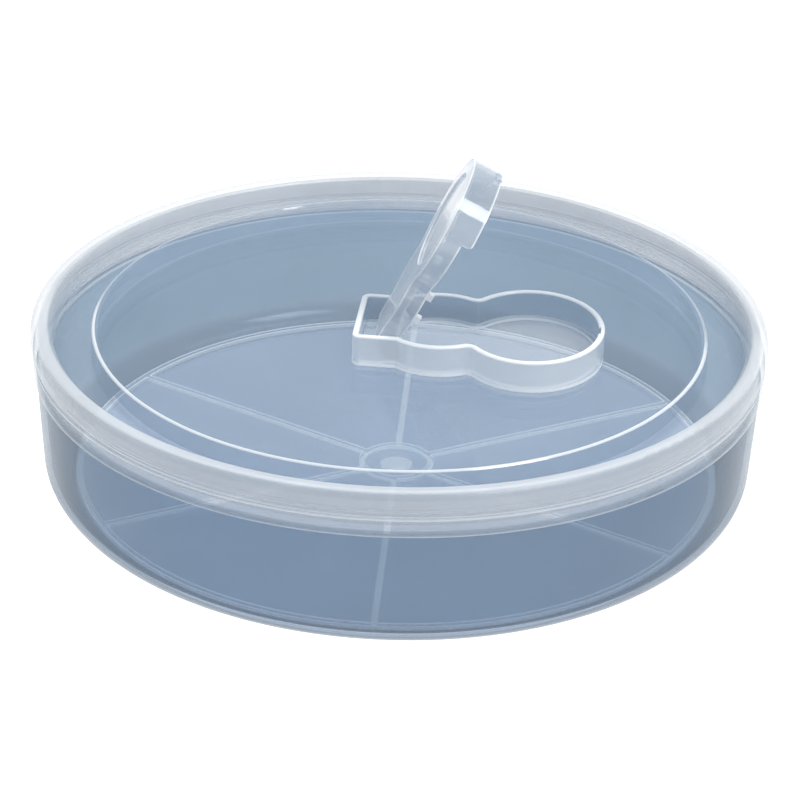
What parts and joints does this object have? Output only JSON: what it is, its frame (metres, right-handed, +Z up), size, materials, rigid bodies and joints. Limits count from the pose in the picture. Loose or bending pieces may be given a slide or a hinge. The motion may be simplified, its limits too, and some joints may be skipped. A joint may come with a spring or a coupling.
{
  "type": "petri dish",
  "caption": "Large shallow round dish with a ribbed floor, a rimmed plug lid and a clear hinged hatch over a keyhole-shaped well.",
  "frame": {"origin": "centre of the dish's underside, on the surface it stands on", "axes": "+Z up through the dish's centre; +X from the hatch's hinge bay towards the keyhole's oval end; +Y along the hatch's hinge axis"},
  "size_m": [0.15, 0.15, 0.0699],
  "materials": {
    "milky_plastic_dish": "semi-gloss milky translucent polypropylene with a blue-grey cast",
    "milky_plastic_lid": "semi-gloss milky translucent polypropylene with a blue-grey cast and a polished panel",
    "clear_plastic_hatch": "glossy, nearly clear plastic"
  },
  "bodies": {
    "dish": {"dish_base": "milky_plastic_dish"},
    "lid": {"lid": "milky_plastic_lid"},
    "hatch": {"hatch": "clear_plastic_hatch"}
  },
  "joints": [
    {"name": "lid_lift", "type": "slide", "parent": "dish", "child": "lid", "axis": [0, 0, 1], "range_m": [0, 0.06]},
    {"name": "hatch_hinge", "type": "hinge", "parent": "lid", "child": "hatch", "pos_m": [-0.0008, 0, 0.0314], "axis": [0, -1, 0], "range_deg": [-63.4, 37]}
  ]
}
